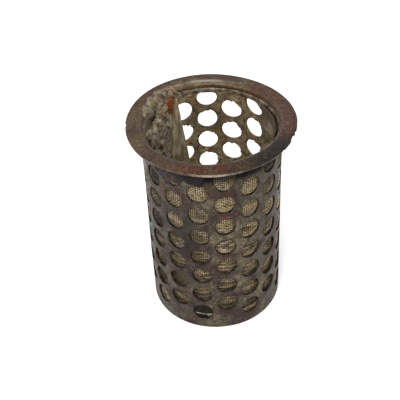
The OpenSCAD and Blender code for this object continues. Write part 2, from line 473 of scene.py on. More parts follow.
def rim_bronze():
    """Brown bronze with copper, olive and dark patches, worn on its edge and lip, with a painted highlight
    on its outer edge in front, a painted sheen on the lip and a painted glint at the lip's back.
    """
    n = Nodes("rim_bronze")
    brown, copper, olive, dark = tone(96, 73, 53), tone(106, 59, 38), tone(118, 100, 68), tone(40, 31, 25)
    dark_patch = n.ramp(n.noise(2.2, 5, 0.7, 0.3), (0.36, 1.0), (0.48, 0.0))
    colour = n.mix(n.patches(0.46, 0.60, 4.5, 5, 0.65, 0.6), brown, copper)
    colour = n.mix(n.times(n.patches(0.52, 0.64, 6, 4, 0.65), 0.7), colour, olive)
    colour = n.mix(n.times(dark_patch, 0.7), colour, dark)
    # (bearing, size, tint) on the flat
    stains = (
        (-68, 9, olive), (-98, 10, olive), (-128, 6, copper), (120, 7, copper), (150, 6, olive),
        (-20, 9, copper), (36, 20, dark), (54, 12, dark), (76, 9, copper), (96, 9, copper))
    for bearing, size, tint in stains:
        colour = n.mix(n.spot(bearing, RIM_TOP - 0.5, size, RIM_R - 2.5), colour, tint)
    lip_places = [(bearing, RIM_TOP - 1, size) for bearing, size in ((218, 4), (206, 5), (192, 5))]
    colour = n.stain(colour, tone(150, 124, 86), 1.0, lip_places, THROAT_R + 0.5)
    specks = n.ramp(n.noise(0.8, 4, 0.7, 0.4), (0.58, 0.0), (0.66, 0.5))
    colour = n.mottle(n.mix(specks, colour, tone(170, 140, 102)), 0.42, 1.5, 0.75, 3, 0.7)
    radius = n.from_axis()
    broken = n.ramp(n.noise(1.8, 4, 0.6), (0.36, 0.4), (0.56, 1.0))
    # Painted highlight: the outer edge is painted bright mostly in front, where it reflects the floor, with
    # a little wear all round
    front_highlight = n.maths("ADD", 0.08, n.spot(0, RIM_TOP - 0.5, 12, RIM_R))
    edge_wear_and_highlight = n.times(n.band(radius, RIM_R - 0.16, RIM_R - 0.04), n.times(broken, front_highlight))
    soiled = n.times(n.band(radius, RIM_R - 1.8, RIM_R - 0.6), n.spot(50, RIM_TOP - 0.5, 36, RIM_R))
    colour = n.mix(soiled, colour, dark)
    # Wear and painted sheen: the lip is painted lighter and glossier all round
    lip_wear_and_sheen = n.times(n.band(radius, THROAT_R + 1.5, THROAT_R + 0.8), broken)
    outer_side = n.band(radius, THROAT_R + 2.1, THROAT_R + 1.7)
    inner_side = n.band(radius, THROAT_R + 0.7, THROAT_R + 1.1)
    # Painted highlight: a glint painted on the lip at the back
    glint = n.times(n.times(outer_side, inner_side), n.spot(184, RIM_TOP - 0.5, 20, THROAT_R + 1))
    colour = n.mix(edge_wear_and_highlight, colour, tone(222, 204, 184))
    colour = n.mix(n.times(lip_wear_and_sheen, 0.5), colour, tone(128, 106, 78))
    colour = n.mix(glint, colour, tone(206, 194, 176))
    rough = n.uneven(0.32, 0.58, 2, 4, 0.6)
    rough = n.mix(n.maths("MAXIMUM", edge_wear_and_highlight, lip_wear_and_sheen), rough, (0.26, 0.26, 0.26))
    pits = n.bump(n.noise(0.5, 5, 0.75), 0.14)
    normal = n.bump(n.noise(3, 3, 0.5), 0.2, 1.0, pits)
    return n.finish(colour, rough, normal, metallic=0.5, specular=0.3)


def wire_brass():
    """Dull golden wire, dirtier low down and grimy in some holes, with soot and painted shadow under the
    rim and painted black shade in its top holes.
    """
    n = Nodes("wire_brass")
    gold, pale = tone(226, 198, 144), tone(250, 228, 196)
    dull, grimy, brown, black = tone(130, 106, 70), tone(84, 68, 50), tone(44, 34, 28), tone(22, 19, 17)
    colour = n.mix(n.patches(0.40, 0.62, 4, 4, 0.6), gold, pale)
    colour = n.mix(n.patches(0.36, 0.54, 1.2, 4, 0.7), dull, colour)
    colour = n.mix(n.times(n.below(44, 30), 0.4), colour, dull)
    level_dirt = n.ramp(n.noise(0.75, 2, 0.5, 0.1, n.stretch((7, 7, 1))), (0.44, 0.38), (0.54, 1.35))
    colour = n.mix(n.below(56, 16), colour, n.mix(1.0, colour, level_dirt, "MULTIPLY"))
    colour = n.stain(colour, grimy, 0.9, (
        (-14, 50, 5), (-14, 40, 8), (-14, 31, 8), (-57, 58, 14), (-57, 40, 14), (-57, 20, 14), (-14, 6, 11),
        (-36, 20, 16), (-50, 45, 12), (54, 30, 8), (32, 8, 8), (30, 33, 4), (8, 3, 8)))
    colour = n.stain(colour, brown, 0.9, (
        (-57, 56, 20), (-57, 36, 22), (-54, 62, 8), (8, 8.5, 5.5), (52, 55, 5)))
    # Black: painted shadow under the rim in the top holes at the front and right; the last two blacken the
    # lowest hole in front
    colour = n.stain(colour, black, 1.15, (
        (54, 64, 15), (70, 64, 18), (8, 66.4, 7), (-14, 6, 10), (-13, 4.5, 9)))
    # Soot and painted shadow under the rim
    soot_and_shadow = n.band(n.height(), SHADOW_AND_SOOT_FOOT, SHADOW_AND_SOOT_FOOT + 3.2)
    colour = n.mix(n.times(soot_and_shadow, 0.85), colour, tone(46, 38, 32))
    return n.finish(colour, n.uneven(0.35, 0.6, 1.5, 2, full=0.7), metallic=0.4, specular=0.4)


def solder_metal(name, light):
    """Lumpy grey and olive solder with brown dirt, a rusty tinge and two yellow patches by the strap."""
    n = Nodes(name)
    pale, olive = tone(168, 156, 136, light), tone(126, 112, 82, light)
    brown, rust = tone(74, 56, 42, light), tone(122, 76, 50, light)
    colour = n.mix(n.patches(0.42, 0.60, 2.6, 5, 0.6, 0.5), pale, olive)
    colour = n.stain(colour, tone(196, 172, 108, light), 0.5, [(236, RIM_TOP, 9)], THROAT_R + 1)
    colour = n.stain(colour, tone(220, 172, 104, light), 1.0, [(215, RIM_TOP - 0.5, 4)], THROAT_R + 1)
    colour = n.mix(n.patches(0.42, 0.54, 1.5, 5, 0.7, 0.3), brown, colour)
    colour = n.mix(n.ramp(n.noise(3.1, 4, 0.65, 0.8), (0.56, 0.0), (0.68, 0.8)), colour, rust)
    # Painted shade: the colour is darkened to half towards the lip, which gets more light than the wall
    # below it
    lip_shade = n.ramp(n.band(n.height(), RIM_TOP - 3, RIM_TOP), (0.0, 1.0), (1.0, 0.5))
    colour = n.mix(1.0, colour, lip_shade, "MULTIPLY")
    rough = n.uneven(0.28, 0.6, 1.5, 4, 0.6)
    return n.finish(colour, rough, n.bump(n.noise(0.9, 4, 0.7), 0.18), metallic=0.3)


def strap_metal():
    """Dull grey-green tinned sheet with a grain along the strap."""
    n = Nodes("strap_metal")
    grey_green, brown = tone(170, 160, 134, INSIDE), tone(110, 92, 66, INSIDE)
    long_grain = n.stretch((1, 1, 5))
    colour = n.mix(n.patches(0.38, 0.58, 1.2, 5, 0.65, 0.2, long_grain), brown, grey_green)
    colour = n.mix(n.ramp(n.noise(2.4, 5, 0.7), (0.38, 0.7), (0.52, 0.0)), colour, brown)
    rough = n.uneven(0.35, 0.62, 2, 4, 0.6)
    return n.finish(colour, rough, n.bump(n.noise(0.8, 4, 0.7, 0, long_grain), 0.14), metallic=0.3)


def residue():
    """The outer side of the residue, seen between the wires: dark, with tan patches and painted shadow
    under the rim in the top holes at the right.
    """
    n = Nodes("residue")
    colour = n.mix(n.patches(0.42, 0.64, 2.2, 5, 0.7), tone(44, 34, 24), tone(88, 74, 52))
    # The first two are painted shadow under the rim in the top holes at the right; the others darken the
    # left column and the lowest hole in front
    dark_places = ((54, 64, 15), (70, 64, 18), (-57, 50, 20), (-14, 6, 10))
    colour = n.stain(colour, tone(22, 19, 17), 1.1, dark_places)
    rough = n.uneven(0.7, 0.95, 1, 3, full=0.7)
    return n.finish(colour, rough, n.bump(n.noise(0.5, 5, 0.7), 0.1), specular=0.2)


def wall_grime():
    """The inner side of the residue: olive and golden, with slanting streaks of the cloth below it, and
    painted shade under the lip and in a recess.
    """
    n = Nodes("wall_grime")
    olive, golden, dark = tone(110, 100, 76, INSIDE), tone(154, 138, 100, INSIDE), tone(66, 54, 38, INSIDE)
    slant = n.stretch((8, 3, 1), (0, 24, 0))
    colour = n.mix(n.times(n.patches(0.42, 0.60, 0.6, 4, 0.65, 0.3, slant), 0.85), olive, golden)
    colour = n.mix(n.patches(0.38, 0.58, 3.5, 5, 0.65, 0.4), n.mix(0.6, olive, dark), colour)
    colour = n.mix(n.patches(0.40, 0.52, 1.4, 4, 0.7), dark, colour)
    rusty = n.times(n.patches(0.54, 0.64, 2.4, 4, 0.65, 0.5), 0.7)
    colour = n.mix(rusty, colour, tone(128, 84, 54, INSIDE))
    # Painted shade under the lip at the right (92, 106) and in the recess under the solder lumps (244); the
    # two at the back darken the wall there
    colour = n.stain(colour, dark, 0.85, (
        (92, 54, 38), (106, 64, 14), (244, 64, 16), (190, 62, 9), (176, 52, 18)), CLOTH_MID)
    # The cloth shows paler in two holes beside the torn ones
    column = TORN_COLUMNS[0] - 1
    seen = [(column_bearing(column), hole_z(column, row), 4.4) for row in (0, 1)]
    colour = n.stain(colour, tone(146, 134, 124, INSIDE), 0.9, seen, CLOTH_MID)
    normal = n.bump(n.noise(0.6, 4, 0.65, 0.3, slant), 0.2, 1.0, n.bump(n.noise(1.2, 4, 0.7), 0.16))
    return n.finish(colour, n.uneven(0.42, 0.8, 1.1, 3, full=0.7), normal, specular=0.35)


def sealant():
    """Dried orange-red compound with dark dirt on it."""
    n = Nodes("sealant")
    colour = n.mix(n.patches(0.38, 0.56, 1.1, 4, 0.6), tone(50, 28, 14, INSIDE), tone(126, 56, 14, INSIDE))
    rough = n.uneven(0.45, 0.8, 0.8, 3, full=0.7)
    return n.finish(colour, rough, n.bump(n.noise(0.5, 4), 0.15), specular=0.3)


def hole_edge_dirt_and_shade():
    """Dark dirt and painted shade in the edges of the holes, with painted light on them in the upper ones.
    """
    n = Nodes("hole_edge_dirt_and_shade")
    colour = n.ramp(n.noise(1.2, 4, 0.65), (0.40, tone(26, 21, 18)), (0.70, tone(78, 64, 50)))
    # Painted light: the edges of the upper holes are painted lighter
    worn = n.times(n.band(n.height(), 44, 54), n.ramp(n.noise(2.5, 3, 0.6), (0.40, 0.0), (0.56, 0.8)))
    colour = n.mix(worn, colour, tone(92, 78, 64))
    rough = n.uneven(0.5, 0.8, 1, 3, full=0.7)
    return n.finish(colour, rough, n.bump(n.noise(0.5, 4), 0.08), specular=0.2)


def crust():
    """Sooty dirt and solder under the rim, with painted shadow under the rim: bluish grey at its left,
    brown over the first holes.
    """
    n = Nodes("crust")
    brown, blue, rust, soot_and_shadow = tone(52, 43, 36), tone(92, 92, 90), tone(104, 76, 66), tone(20, 17, 15)
    colour = n.mix(n.patches(0.40, 0.58, 2.4, 5, 0.7, 0.4), soot_and_shadow, brown)
    colour = n.stain(colour, blue, 1.0, ((-58, 63, 9), (-44, 64, 6)))
    colour = n.stain(colour, rust, 1.0, ((-35, 63, 6), (-50, 59, 6)))
    # Soot and painted shadow: near black in front and in a band just below the rim
    shadow_and_soot_mask = n.maths("MAXIMUM", n.spot(-14, 65, 20), n.band(n.height(), SHADOW_AND_SOOT_FOOT + 0.4, SHADOW_AND_SOOT_FOOT + 3.4))
    colour = n.mottle(n.mix(n.times(shadow_and_soot_mask, 0.85), colour, soot_and_shadow), 0.5, 1.5, 0.8, 4, 0.7)
    rough = n.uneven(0.4, 0.75, 1.5, 4, 0.6)
    return n.finish(colour, rough, n.bump(n.noise(0.7, 4, 0.7), 0.16), metallic=0.15, specular=0.14)


SHELL = shell_metal()
RIM = rim_bronze()
WIRE = wire_brass()
# Lit and shaded copies of one solder, with light painted into their colour: the run under the rim is
# darkened to soot and painted shadow, and the ones inside are painted lighter
SOLDER = solder_metal("solder_outside", OUTSIDE * 0.55)
SHADOW_AND_SOOT_SOLDER = solder_metal("solder_under_rim", OUTSIDE * 0.14)
INNER_SOLDER = solder_metal("solder_inside", INSIDE * 0.86)
CLOTH_SOLDER = solder_metal("solder_cloth_top", INSIDE * 0.55)
CRUST = crust()
EDGE_DIRT_AND_SHADE = hole_edge_dirt_and_shade()
STRAP = strap_metal()
RESIDUE = residue()
GRIME = wall_grime()
SEALANT = sealant()


# ---------------------------------------------------------------- camera, floor and light

# The camera's place in basket heights from the lower edge's centre, and its angles in degrees
CAMERA_PLACE = (-0.06416, -3.19453, 3.37354)
CAMERA_TILT = 41.523
CAMERA_ROLL = -2.746
LENS_MM = 82.53
SENSOR_MM = 36


def make_camera():
    """The camera looks down on the front of the basket."""
    place = Vector(CAMERA_PLACE) * RIM_TOP * MM
    tilt, roll = math.radians(CAMERA_TILT), math.radians(CAMERA_ROLL)
    forward = Vector((0, math.cos(tilt), -math.sin(tilt)))
    level = Vector((1, 0, 0))
    lift = Vector((0, math.sin(tilt), math.cos(tilt)))
    right = math.cos(roll) * level + math.sin(roll) * lift
    up = math.cos(roll) * lift - math.sin(roll) * level
    data = bpy.data.cameras.new("camera")
    data.lens = LENS_MM
    data.sensor_width = SENSOR_MM
    data.clip_start = 0.01
    camera = bpy.data.objects.new("camera", data)
    rotation = Matrix((right, up, -forward)).transposed().to_4x4()
    camera.matrix_world = Matrix.Translation(place) @ rotation
    bpy.context.scene.collection.objects.link(camera)
    bpy.context.scene.camera = camera


def area_light(name, place, target, size, power):
    data = bpy.data.lights.new(name, "AREA")
    data.shape = "DISK"
    data.size = size
    data.energy = power
    lamp = bpy.data.objects.new(name, data)
    lamp.location = place
    lamp.rotation_euler = (Vector(target) - Vector(place)).to_track_quat("-Z", "Y").to_euler()
    bpy.context.scene.collection.objects.link(lamp)


FLOOR_HALF = 3000
FLOOR_Z = -0.02
SKY_COLOUR = (1.0, 0.995, 0.985, 1)
SKY_STRENGTH = 1.15
# The lamp, in metres and watts
LAMP_PLACE = (-0.12, -0.42, 0.56)
LAMP_TARGET = (0, 0, 0.04)
LAMP_SIZE = 0.35
LAMP_POWER = 4


def make_studio():
    """A pale paper floor, an even white sky and one soft lamp at the upper front left."""
    floor_material = Nodes("floor_paper")
    grain = floor_material.ramp(floor_material.noise(3, 3), (0.3, 0.90), (0.7, 0.93))
    floor_material.finish(grain, 0.9, specular=0.1)
    corners = [(FLOOR_HALF * x, FLOOR_HALF * y, FLOOR_Z) for x, y in ((-1, -1), (1, -1), (1, 1), (-1, 1))]
    floor = new_object("floor", corners, [(0, 1, 2, 3)], floor_material.material)
    world = bpy.data.worlds.new("studio")
    world.use_nodes = True
    background = world.node_tree.nodes["Background"]
    background.inputs["Color"].default_value = SKY_COLOUR
    background.inputs["Strength"].default_value = SKY_STRENGTH
    bpy.context.scene.world = world
    area_light("softbox", LAMP_PLACE, LAMP_TARGET, LAMP_SIZE, LAMP_POWER)
    bpy.context.scene.view_settings.view_transform = "Standard"
    bpy.context.scene.view_settings.look = "None"


# ---------------------------------------------------------------- the perforated shell

def ring_cell(centre, across, along, side_steps, rings, worn):
    """Points of a cell round one hole, from the hole's edge to the cell's rectangle, and its quads."""
    top = np.linspace(-0.5, 0.5, side_steps + 1)[:-1]
    square = [(v, 0.5) for v in top] + [(0.5, -v) for v in top]
    square += [(-x, -y) for x, y in square]
    square = np.array(square) * (across, along)
    angle = np.arctan2(square[:, 1] / along, square[:, 0] / across)
    circle = HOLE_R * np.stack([np.cos(angle), np.sin(angle)], -1) * worn
    count = len(square)
    points = [circle * (1 - f) + square * f for f in rings]
    points = np.concatenate(points) + centre
    k = np.arange(count)
    quads = []
    for r in range(len(rings) - 1):
        a, b = r * count + k, r * count + (k + 1) % count
        quads.append(np.stack([a, b, b + count, a + count], -1))
    return points, np.concatenate(quads)


def cell_corners(columns, rows):
    """The number of each cell's first point, in a grid of points numbered column by column."""
    i, j = grid(np.arange(columns - 1), np.arange(rows - 1))
    return (i * rows + j).reshape(-1)


def patch(u_values, z_values):
    """A plain rectangular grid of the unrolled sheet."""
    rows = len(z_values)
    corner = cell_corners(len(u_values), rows)
    quads = np.stack([corner, corner + 1, corner + rows + 1, corner + rows], -1)
    return np.stack(grid(u_values, z_values), -1).reshape(-1, 2), quads


def unrolled_shell():
    """The flat perforated sheet as (arc length from the seam, z) points and quads.

    The lattice's first row lies a little above the sheet, so make_shell brings it down to the sheet's edge.
    """
    width = math.radians(COLUMN_STEP) * SHELL_R
    steps = 10
    lattice = ROW_PITCH / steps
    first = RIM_TOP - FIRST_ROW_DROP + ROW_PITCH / 2
    margin = math.radians(SEAM_GAP - COLUMN_STEP) / 2 * SHELL_R
    rings = (0, 0.10, 0.28, 0.6, 1)
    row_total = int((first - lattice / 3) / lattice) + 1
    all_rows = [first - lattice * k for k in range(row_total)] + [0]
    pieces = []
    for column in range(COLUMNS):
        left = margin + column * width
        across = np.linspace(left, left + width, steps + 1)
        for row in range(ROWS):
            worn = WORN_HOLE if is_torn_hole(column, row) else (1, 1)
            centre = (left + width / 2, hole_z(column, row))
            pieces.append(ring_cell(centre, width, ROW_PITCH, steps, rings, worn))
        shift = (column % 2) * steps // 2
        foot_start = shift + ROWS * steps
        if shift:
            pieces.append(patch(across, all_rows[:shift + 1]))
        pieces.append(patch(across, all_rows[foot_start:]))
    right_edge = margin + COLUMNS * width
    pieces.append(patch(np.linspace(SEAM_SLIT / 2, margin, 3), all_rows))
    pieces.append(patch(np.linspace(right_edge, right_edge + margin - SEAM_SLIT / 2, 3), all_rows))
    return pieces


def join(pieces):
    """Joins (points, quads) pairs into one pair."""
    offsets = np.cumsum([0] + [len(p) for p, _ in pieces[:-1]])
    quads = [q + offset for (_, q), offset in zip(pieces, offsets)]
    return np.concatenate([p for p, _ in pieces]), np.concatenate(quads)


def join_flat(pieces):
    """Joins flat pieces, merging points that fall on each other."""
    points, quads = join(pieces)
    keys = np.round(points, 3)
    unique, index, inverse = np.unique(keys, axis=0, return_index=True, return_inverse=True)
    return points[index], inverse.reshape(-1)[quads]


def outward(points, quads):
    """Turns quads so that they all face the same way."""
    a, b, c = (points[quads[:, k]] for k in range(3))
    normal = (b[:, 0] - a[:, 0]) * (c[:, 1] - a[:, 1]) - (b[:, 1] - a[:, 1]) * (c[:, 0] - a[:, 0])
    return np.where(normal[:, None] > 0, quads, quads[:, ::-1])


EDGE_WORN = 0.16
# How far round a hole its dark edge of dirt and painted shade reaches, and how far the bare edge of a torn
# hole
DARK_EDGE_REACH = 0.12
BARE_REACH = 1


def make_shell():
    """The perforated shell: rolled, thickened and worn, with grime inside, and dirt and painted shade in
    the holes' edges.
    """
    flat, quads = join_flat(unrolled_shell())
    quads = outward(flat, quads)
    flat[:, 1] = np.minimum(flat[:, 1], SHELL_TOP)
    bearing = SEAM_BEARING + np.degrees(flat[:, 0] / SHELL_R)
    shell = new_object("perforated_shell_skin", on_wall(bearing, SHELL_R, flat[:, 1]), quads, SHELL)
    grime_slot, dirt_and_shade_slot = 1, 2
    shell.data.materials.append(GRIME)
    shell.data.materials.append(EDGE_DIRT_AND_SHADE)
    solid = shell.modifiers.new("sheet", "SOLIDIFY")
    solid.thickness = SHEET_T * MM
    solid.offset = -1
    solid.material_offset = grime_slot
    bevel = shell.modifiers.new("worn_edges", "BEVEL")
    bevel.width = EDGE_WORN * MM
    bevel.segments = 3
    bevel.limit_method = "ANGLE"
    bevel.angle_limit = math.radians(50)
    bake_modifiers(shell)
    face_bearing, face_r, face_z = polar_of(places_of(shell.data.polygons, "center"))
    distance, column, row = nearest_hole(face_bearing, face_z)
    torn = is_torn_hole(column, row) & (distance < HOLE_R + BARE_REACH)
    in_edge = (distance < HOLE_R + DARK_EDGE_REACH) & (face_r > CLOTH_OUT + 0.02)
    index = np.empty(len(face_r), np.int32)
    shell.data.polygons.foreach_get("material_index", index)
    index[in_edge & ~torn] = dirt_and_shade_slot
    index[torn & (face_r < SHELL_R - 0.15)] = grime_slot
    shell.data.polygons.foreach_set("material_index", index)
    dent_wall(shell)
    shell.data.shade_smooth()
    return register(shell, "shell_sheet", "perforated_shell")


# ---------------------------------------------------------------- the rim and its solder

FRONT_DROOP = 0.5


def make_rim():
    """The rim: a flat ring with a rounded lip and a collar, bent, hollowed and nicked."""
    inner, outer = THROAT_R, SHELL_R
    # The radii of the outer edge, and of the corner between the rim and the collar
    edge = 0.42
    throat = 0.35
    lip_z = RIM_TOP - LIP_R
    middle = (RIM_TOP + RIM_UNDER) / 2
    profile = [(inner, z) for z in np.linspace(COLLAR_FOOT, lip_z, 4)[:-1]]
    profile += arc((inner + LIP_R, lip_z), LIP_R, 180, 90, 10)
    profile += [(r, RIM_TOP) for r in np.linspace(inner + LIP_R + 0.3, RIM_R - edge - 0.3, 8)]
    profile += arc((RIM_R - edge, RIM_TOP - edge), edge, 90, 0, 6)
    profile += arc((RIM_R - edge, RIM_UNDER + edge), edge, 0, -90, 6)
    profile += [(r, RIM_UNDER) for r in np.linspace(RIM_R - edge - 0.4, outer + throat + 0.3, 6)]
    profile += arc((outer + throat, RIM_UNDER - throat), throat, 90, 180, 4)
    profile += [(outer, z) for z in np.linspace(RIM_UNDER - throat - 0.2, COLLAR_FOOT, 4)]
    hollow = layered((21, 16, 0.05), (22, 5, 0.03), (24, 1.7, 0.012))
    nick = layered((23, 2.4, 0.8), (25, 1.1, 0.5))

    def worn(bearing, radius, z):
        chipped = 0.22 + 0.25 * window(bearing, 40, 60, 90, 110)
        bite = chipped * ease(0.3, 0.8, nick(bearing, 30)) * ease(RIM_R - 1.1, RIM_R - 0.1, radius)
        flat = ease(inner + 0.4, inner + 1.8, radius)
        sunk = flat * hollow(bearing, radius) - 0.5 * bite * np.sign(z - middle) * flat
        in_front = window(from_front(bearing), -32, 4, 40, 75)
        droop = FRONT_DROOP * in_front * ease(THROAT_R + 2, RIM_R, radius)
        return radius - bite, z + sunk + bend(bearing) - droop

    rim = lathe("rim_ring", profile, RIM, FINE_TURN, worn)
    return register(rim, "rim_bronze", "rim_flange")


def make_rim_solder():
    """The solder under the rim, with a hollow, lumpy face."""
    lumpy = layered((31, 6, 0.5), (32, 2.2, 0.32))
    inner = SHELL_R - 0.1
    width = FILLET_R - SHELL_R
    height = FILLET_TOP - FILLET_FOOT
    profile = [(inner, FILLET_TOP), (inner + 0.3, FILLET_TOP), (FILLET_R, FILLET_TOP)]
    for t in np.linspace(0.1, 1, 9):
        profile.append((SHELL_R + width * (1 - t) ** 1.5, FILLET_TOP - height * t ** 1.5))
    profile += [(inner, FILLET_FOOT)]

    def lump(bearing, radius, z):
        free = ease(inner, inner + 0.3, radius) * ease(FILLET_TOP, FILLET_TOP - 0.3, z)
        swell = 1 + 0.8 * lumpy(bearing, z * 0.6)
        moved_z = z + free * (z - FILLET_TOP) * (swell - 1) * 0.6
        return radius + free * (radius - SHELL_R) * (swell - 1), moved_z + bend(bearing)

    fillet = lathe("rim_solder_run", profile, SHADOW_AND_SOOT_SOLDER, FINE_TURN, lump)
    return register(fillet, "soft_solder", "rim_solder_fillet")


CRUST_SPAN = (290, 356)
CRUST_FOOT = 56


def make_crust():
    """Dirt and solder that has run down under the rim at the left of the front, over the first holes."""
    bearing, z = grid(np.linspace(*CRUST_SPAN, 200), np.linspace(CRUST_FOOT, COLLAR_FOOT + 1.2, 90))
    ragged = layered((141, 7, 2.6), (142, 2.2, 1.2), (143, 0.9, 0.5))
    foot = 61.8 + 2.4 * ease(322, 340, bearing) + ragged(bearing, z)
    amount = ease(-0.4, 1.2, z - foot) * window(bearing, 292, 300, 346, 355)
    lumps = layered((144, 3.2, 0.28), (145, 1.2, 0.2), (146, 0.6, 0.08))
    height = amount * np.clip(0.34 + lumps(bearing, z), 0.04, 1.0)
    dirt = relief("rim_crust", bearing, (SHELL_R + height, z), (SHELL_R - 0.05, z), CRUST, height > 0.05)
    return register(dirt, "soft_solder", "rim_solder_fillet")


# ---------------------------------------------------------------- woven wire

WIRE_R = 0.1
WIRE_PITCH = 0.64
QUARTERS = ("front_right", "back_right", "back_left", "front_left")
bulge_of_hole = np.random.default_rng(5).uniform(0.75, 1.15, (COLUMNS, ROWS))
cloth_sway = layered((41, 14, 0.35), (42, 5, 0.12))
cloth_drift = layered((43, 12, 0.5), (44, 4.5, 0.15))


def cloth_bulge(bearing, z):
    """How far the cloth pushes out into the holes: most in the upper rows, hardly at all in the lowest."""
    distance, column, row = nearest_hole(bearing, z)
    drop = ease(6.5, 1.5, row)
    swell = np.clip(1 - (distance / (HOLE_R - 0.15)) ** (2 + 2.5 * ease(4, 1, row)), 0, 1) ** 0.8
    return swell * (0.12 + 0.5 * drop) * bulge_of_hole[column.astype(int), row.astype(int)]


def on_right(bearing):
    """1 on the right, where the cloth's upper edge has come away from the wall."""
    return window(bearing, 45, 75, 115, 150)


def stand_off(bearing, z):
    """How far the cloth stands off the wall: at its upper edge on the right, and low down in front."""
    low = window(z, CLOTH_FOOT + 1, CLOTH_FOOT + 5, 14, 42)
    front = ease(0.25, 0.7, np.cos(np.radians(bearing)))
    return 0.9 * on_right(bearing) * ease(CLOTH_TOP - 4, CLOTH_TOP, z) + 0.85 * low * front


def cloth_place(bearing, z):
    """Where the cloth's middle lies for each place of its flat weave, swayed and bulged."""
    hold = window(z, CLOTH_FOOT, CLOTH_FOOT + 4, CLOTH_TOP - 4, CLOTH_TOP)
    moved_b = bearing + hold * np.degrees(cloth_sway(bearing, z) / CLOTH_IN)
    moved_z = z + hold * cloth_drift(bearing, z)
    return moved_b, CLOTH_MID + cloth_bulge(moved_b, moved_z) - stand_off(moved_b, moved_z), moved_z


def tubes(centres, side_a, side_b, radius):
    """Square-section tubes along rows of centres (wires x points x 3), with caps."""
    wires, length, _ = centres.shape
    spokes = [(1, 1), (-1, 1), (-1, -1), (1, -1)]
    reach = radius * math.sqrt(0.5)
    points = np.stack([centres + reach * (a * side_a + b * side_b) for a, b in spokes], axis=2)
    w, p, s = grid(np.arange(wires), np.arange(length - 1), np.arange(4))
    at = lambda p, s: (w * length + p) * 4 + s % 4
    quads = np.stack([at(p, s), at(p, s + 1), at(p + 1, s + 1), at(p + 1, s)], -1).reshape(-1, 4)
    first = np.arange(wires)[:, None] * length * 4
    last = first + (length - 1) * 4
    caps = np.concatenate([first + [3, 2, 1, 0], last + [0, 1, 2, 3]])
    return points.reshape(-1, 3), np.concatenate([quads, caps])


fray = layered((51, 1.0, 0.45), (52, 2.2, 0.3))
FRAY_MARGIN = 0.35
# The flap of cloth left in one torn hole: its radius, and its place right of and below the hole's centre
FLAP_R = 1.2
FLAP_TURN, FLAP_DROP = 6, 0.4


def is_torn(bearing, z):
    """Where the cloth is gone: over the upper holes at the back, with frayed edges and one flap left."""
    distance, column, row = nearest_hole(bearing, z)
    flap_bearing = column_bearing(TORN_COLUMNS[0]) + FLAP_TURN
    flap_z = hole_z(TORN_COLUMNS[0], 2) - FLAP_DROP
    from_flap = np.hypot(np.radians(bearing - flap_bearing) * SHELL_R, z - flap_z)
    near = distance < HOLE_R + FRAY_MARGIN + fray(bearing, z)
    return is_torn_hole(column, row) & near & (from_flap > FLAP_R)


def kept_runs(keep):
    """(first, past last) of each unbroken stretch of at least two kept points."""
    edges = np.flatnonzero(np.diff(np.concatenate([[0], keep.astype(int), [0]])))
    return [(a, b) for a, b in edges.reshape(-1, 2) if b - a > 1]


def torn_tubes(centres, side_a, side_b, radius, keep):
    """Tubes along the kept stretches of each wire."""
    parts = [(slice(w, w + 1), slice(a, b)) for w in range(len(centres)) for a, b in kept_runs(keep[w])]
    return join([tubes(centres[part], side_a[part], side_b[part], radius) for part in parts])


def weave_quarter(quarter, per_pitch=2):
    """One quarter of the sleeve: its upright wires and its part of each level wire."""
    around = 4 * round(2 * math.pi * CLOTH_IN / WIRE_PITCH / 4)
    levels = int((CLOTH_TOP - CLOTH_FOOT - 0.2) / WIRE_PITCH)
    step = 360 / around
    mine = np.arange(around // 4) + quarter * around // 4
    fine_z = np.arange((levels - 1) * per_pitch + 1) / per_pitch
    i, j = grid(mine, fine_z)
    up_b, up_r, up_z = cloth_place(i * step, CLOTH_FOOT + 0.2 + j * WIRE_PITCH)
    up_wave = WIRE_R * np.cos(math.pi * (j + i))
    upright = on_wall(up_b, up_r + up_wave, up_z)
    fine_b = (np.arange(len(mine) * per_pitch + 1) / per_pitch) + mine[0] - 0.5
    j, i = grid(np.arange(levels), fine_b)
    flat_b, flat_r, flat_z = cloth_place(i * step, CLOTH_FOOT + 0.2 + j * WIRE_PITCH)
    flat_wave = -WIRE_R * np.cos(math.pi * (j + i))
    level = on_wall(flat_b, flat_r + flat_wave, flat_z)
    out_up, out_flat = on_wall(up_b, 1.0, 0.0), on_wall(flat_b, 1.0, 0.0)
    side_up = on_wall(up_b + 90, 1.0, 0.0)
    z_axis = np.broadcast_to([0.0, 0.0, 1.0], out_flat.shape)
    return join([torn_tubes(upright, out_up, side_up, WIRE_R, ~is_torn(up_b, up_z)),
                 torn_tubes(level, out_flat, z_axis, WIRE_R, ~is_torn(flat_b, flat_z))])


def make_cloth():
    """The sleeve of wire cloth, in four quarters."""
    for quarter, side in enumerate(QUARTERS):
        points, quads = weave_quarter(quarter)
        cloth = new_object("wire_cloth_" + side, points, quads, WIRE)
        dent_wall(cloth)
        register(cloth, "wire_cloth", "mesh_liner")


FILM_T = 0.14
FILM_DEPTH = 0.2
FILM_CELL = 0.36


